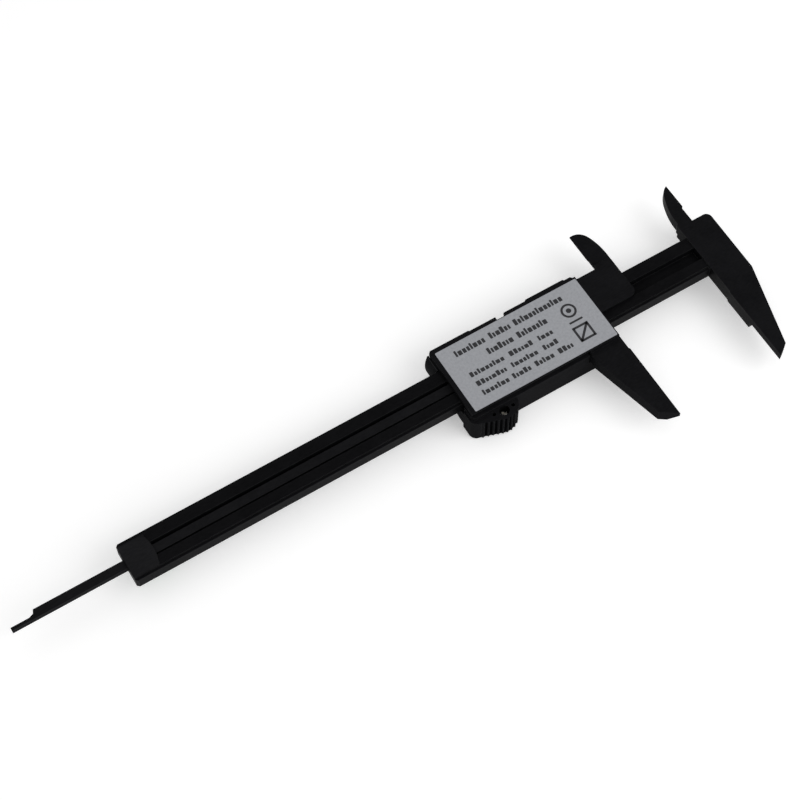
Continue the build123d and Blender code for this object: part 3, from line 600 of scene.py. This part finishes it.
# ---------------- Scale print on the beam's front ----------------
# Prints on the front stand this far off their surface.
FRONT_PRINT_RISE = 0.004 * MM
FRONT_PRINT_THICKNESS = 0.02 * MM
SCALE_LENGTH = 150
SCALE_MARGIN = 0.3
SCALE_END_ROOM = 0.5
CENTIMETRE_LINE, HALF_LINE, MILLIMETRE_LINE = 4.4, 3.4, 2.4
THICK_LINE, THIN_LINE = 0.26, 0.18
FIGURE_RISE = 5.2
FIGURE_WIDTH, FIGURE_HEIGHT, FIGURE_LINE = 1.2, 2.0, 0.3
FIGURE_GAP = 0.5

scale_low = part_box("scale_label")[0]
frame_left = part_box("slider_frame")[0].x
closing_travel = next(
    joint for joint in frame["record"]["behaviour"]["joints"] if joint["name"] == "slider_slide"
)["range_m"][1]

SEGMENTS = {
    "0": "abcdef",
    "1": "bc",
    "2": "abged",
    "3": "abgcd",
    "4": "fgbc",
    "5": "afgcd",
    "6": "afgedc",
    "7": "abc",
    "8": "abcdefg",
    "9": "abcdfg",
}
# Each segment stops short of its corners by this share of its thickness.
SEGMENT_TRIM = 0.6


def front_digit(character, x, y, width, height, thickness):
    """Outlines of a seven-segment figure read from the front, where +Y is up and -X is to the right.

    x, y is its lower left corner.
    """
    w, h = width, height
    lines = {
        "a": (0, h, w, h),
        "b": (w, h, w, h / 2),
        "c": (w, h / 2, w, 0),
        "d": (0, 0, w, 0),
        "e": (0, 0, 0, h / 2),
        "f": (0, h / 2, 0, h),
        "g": (0, h / 2, w, h / 2),
    }
    outlines = []
    for key in SEGMENTS[character]:
        x0, y0, x1, y1 = lines[key]
        trim = thickness * SEGMENT_TRIM
        if x0 == x1:
            y0, y1 = (y0 + trim, y1 - trim) if y1 > y0 else (y0 - trim, y1 + trim)
        else:
            x0, x1 = x0 + trim, x1 - trim
        outlines.append(stroke(x - x0, y + y0, x - x1, y + y1, thickness))
    return outlines


def scale_marks():
    """Divisions each millimetre with figures each centimetre, read from the front."""
    outlines = []
    # The housing's left end stands at zero when the jaws are closed.
    zero_x = (frame_left + closing_travel) / MM
    foot = scale_low.y / MM + SCALE_MARGIN
    last = min(SCALE_LENGTH, int(zero_x - scale_low.x / MM - SCALE_END_ROOM))
    for tick in range(last + 1):
        x = zero_x - tick
        length = CENTIMETRE_LINE if tick % 10 == 0 else HALF_LINE if tick % 5 == 0 else MILLIMETRE_LINE
        outlines.append(stroke(x, foot, x, foot + length, THIN_LINE if tick % 5 else THICK_LINE))
        if tick % 10 == 0:
            figures = str(tick // 10)
            wide = FIGURE_WIDTH * len(figures) + FIGURE_GAP * (len(figures) - 1)
            for order, character in enumerate(figures):
                left = x + wide / 2 - order * (FIGURE_WIDTH + FIGURE_GAP)
                outlines += front_digit(
                    character, left, foot + FIGURE_RISE, FIGURE_WIDTH, FIGURE_HEIGHT, FIGURE_LINE
                )
    return outlines


print_piece(
    "scale_print",
    scale_marks(),
    scale_low.z - FRONT_PRINT_RISE,
    FRONT_PRINT_THICKNESS,
    "beam",
    SCALE_INK,
    True,
)


# ---------------- Display figures ----------------
# The reading is the jaw opening as posed, 41.2 mm.
READING = "412"
READING_MARGIN = 6.5
READING_DROP = 2.8
READING_PITCH = 5.2
READING_WIDTH, READING_HEIGHT, READING_LINE = 3.0, 5.6, 0.7
POINT_X, POINT_SIZE = 9.3, 0.8
panel_low, panel_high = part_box("lcd_panel")


def display_marks():
    """Three figures and a point, read from the front."""
    left = panel_high.x / MM - READING_MARGIN
    foot = (panel_low.y + panel_high.y) / 2 / MM - READING_DROP
    outlines = []
    for order, character in enumerate(READING):
        x = left - order * READING_PITCH
        outlines += front_digit(character, x, foot, READING_WIDTH, READING_HEIGHT, READING_LINE)
    outlines.append(rounded_outline(left - POINT_X, foot, POINT_SIZE, POINT_SIZE, POINT_SIZE / 4))
    return outlines


print_piece(
    "display_figures",
    display_marks(),
    panel_low.z - 0.02 * MM,
    0.03 * MM,
    "slider",
    SEGMENT_INK,
    True,
)


# ---------------- Key marks ----------------
KEY_LINE = 0.28
KEY_ARC_LINE = 0.26
KEY_RADIUS = 0.95
ARROW_HALF = 1.6
ARROW_BARB = 0.8
ARROW_RISE = 0.7


def key_marks(node, kind):
    """A ring, a broken ring with a bar in its gap, or two half arrows."""
    low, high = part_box(node)
    x, y = (low.x + high.x) / 2 / MM, (low.y + high.y) / 2 / MM
    if kind == "ring":
        return [arc_band(x, y, KEY_RADIUS, KEY_LINE, 0, FULL_TURN, 32)]
    if kind == "bar":
        return [
            arc_band(x, y, KEY_RADIUS, KEY_ARC_LINE, 125, 415, 32),
            stroke(x, y + 1.2, x, y + 0.1, KEY_LINE),
        ]
    return [
        stroke(x - ARROW_HALF, y, x + ARROW_HALF, y, KEY_LINE),
        stroke(x - ARROW_HALF, y, x - ARROW_BARB, y + ARROW_RISE, KEY_LINE),
        stroke(x + ARROW_HALF, y, x + ARROW_BARB, y - ARROW_RISE, KEY_LINE),
    ]


for key_node, body, kind, slot in (
    ("key_unit", "key_unit_body", "arrows", "key_plastic"),
    ("key_power", "key_power_body", "bar", "key_plastic_power"),
    ("key_zero", "key_zero_body", "ring", "key_plastic"),
):
    marks = key_marks(key_node, kind)
    print_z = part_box(key_node)[0].z - FRONT_PRINT_RISE
    print_piece(key_node + "_mark", marks, print_z, FRONT_PRINT_THICKNESS, body, KEY_INK, True)


# ---------------- Studio ----------------
FLOOR_GLOW = 0.3
FLOOR_HALF = 3.0
FLOOR_DROP = 0.2 * MM
WORLD_STRENGTH = 0.64


def floor_material():
    material, tree, shader = new_material("studio_floor")
    grain = noise(tree, coordinates(tree), 0.02, 2)
    paper = ramp(tree, grain, [(0.3, (0.88, 0.88, 0.88)), (0.7, (0.9, 0.9, 0.9))])
    tree.links.new(paper, shader.inputs["Base Color"])
    shader.inputs["Roughness"].default_value = 0.9
    shader.inputs["Specular IOR Level"].default_value = 0.1
    shader.inputs["Emission Color"].default_value = (1, 1, 1, 1)
    shader.inputs["Emission Strength"].default_value = FLOOR_GLOW
    return material


def make_floor():
    half = FLOOR_HALF
    mesh = bpy.data.meshes.new("studio_floor")
    corners = [(-half, -half, 0), (half, -half, 0), (half, half, 0), (-half, half, 0)]
    mesh.from_pydata(corners, [], [(0, 1, 2, 3)])
    mesh.materials.append(floor_material())
    floor = link(bpy.data.objects.new("studio_floor", mesh))
    floor.location.z = -FLOOR_DROP


def area_light(name, direction, distance, size, power):
    """Soft box aimed at the object from a direction."""
    data = bpy.data.lights.new(name, "AREA")
    data.shape = "SQUARE"
    data.size = size
    data.energy = power
    lamp = link(bpy.data.objects.new(name, data))
    toward = Vector(direction).normalized()
    lamp.location = CAMERA_LOOK + toward * distance
    lamp.rotation_euler = toward.to_track_quat("Z", "Y").to_euler()


make_floor()
area_light("key_light", (0.8, -1.0, 1.0), 0.8, 0.6, 2.4)
area_light("top_light", (0.1, 0.45, 1.0), 0.9, 0.6, 0.3)

world = bpy.data.worlds.new("studio")
bpy.context.scene.world = world
world.use_nodes = True
background = world.node_tree.nodes["Background"]
background.inputs["Color"].default_value = (1, 1, 1, 1)
background.inputs["Strength"].default_value = WORLD_STRENGTH

view = bpy.context.scene.view_settings
view.view_transform = "Standard"
